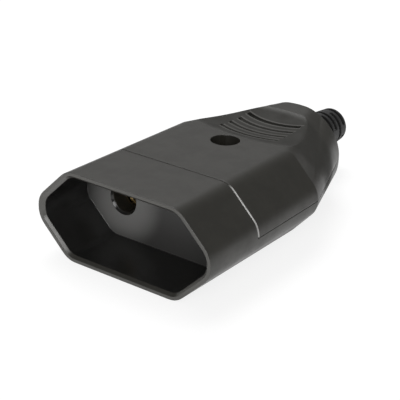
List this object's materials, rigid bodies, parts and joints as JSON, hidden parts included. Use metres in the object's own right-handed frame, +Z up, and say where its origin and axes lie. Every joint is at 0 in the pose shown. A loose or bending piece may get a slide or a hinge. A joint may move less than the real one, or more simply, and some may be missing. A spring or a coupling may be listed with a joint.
{
  "type": "euro cable coupler",
  "caption": "Flat in-line cable coupler with an octagonal plug recess, brass pin contacts, a screwed cover with a dished finger grip and a slotted bend relief at the cord end.",
  "frame": {"origin": "centre of the bounding box at the flat underside", "axes": "+Y along the coupler from the plug recess to the cord end, +Z up through the cover, +X across"},
  "size_m": [0.0392, 0.0716, 0.0178],
  "materials": {
    "shell_plastic": "fine grained satin",
    "boot_plastic": "soft matt",
    "contact_brass": "turned and bright",
    "screw_steel": "zinc plated",
    "clamp_plastic": "satin",
    "fibre": "dull"
  },
  "bodies": {
    "base": {"base_shell": "shell_plastic", "bend_relief": "boot_plastic", "contact_left": "contact_brass", "contact_right": "contact_brass", "housing_nut": "screw_steel"},
    "cover": {"cover_shell": "shell_plastic", "screw_retainer": "fibre"},
    "housing_screw": {"housing_screw": "screw_steel"},
    "terminal_screw_left": {"terminal_screw_left": "screw_steel"},
    "terminal_screw_right": {"terminal_screw_right": "screw_steel"},
    "cord_clamp": {"cord_clamp": "clamp_plastic", "clamp_screw_left": "screw_steel", "clamp_screw_right": "screw_steel"}
  },
  "joints": [
    {"name": "cover_lift", "type": "slide", "parent": "base", "child": "cover", "axis": [0, 0, 1], "range_m": [0, 0.03]},
    {"name": "housing_screw_turn", "type": "hinge", "parent": "cover", "child": "housing_screw", "pos_m": [0, -0.00475, 0.0089], "axis": [0, 0, 1], "continuous": true},
    {"name": "terminal_screw_left_travel", "type": "slide", "parent": "base", "child": "terminal_screw_left", "axis": [0, 0, 1], "range_m": [0, 0.0012]},
    {"name": "terminal_screw_right_travel", "type": "slide", "parent": "base", "child": "terminal_screw_right", "axis": [0, 0, 1], "range_m": [0, 0.0012]},
    {"name": "cord_clamp_travel", "type": "slide", "parent": "base", "child": "cord_clamp", "axis": [0, 0, 1], "range_m": [0, 0.0012]}
  ]
}
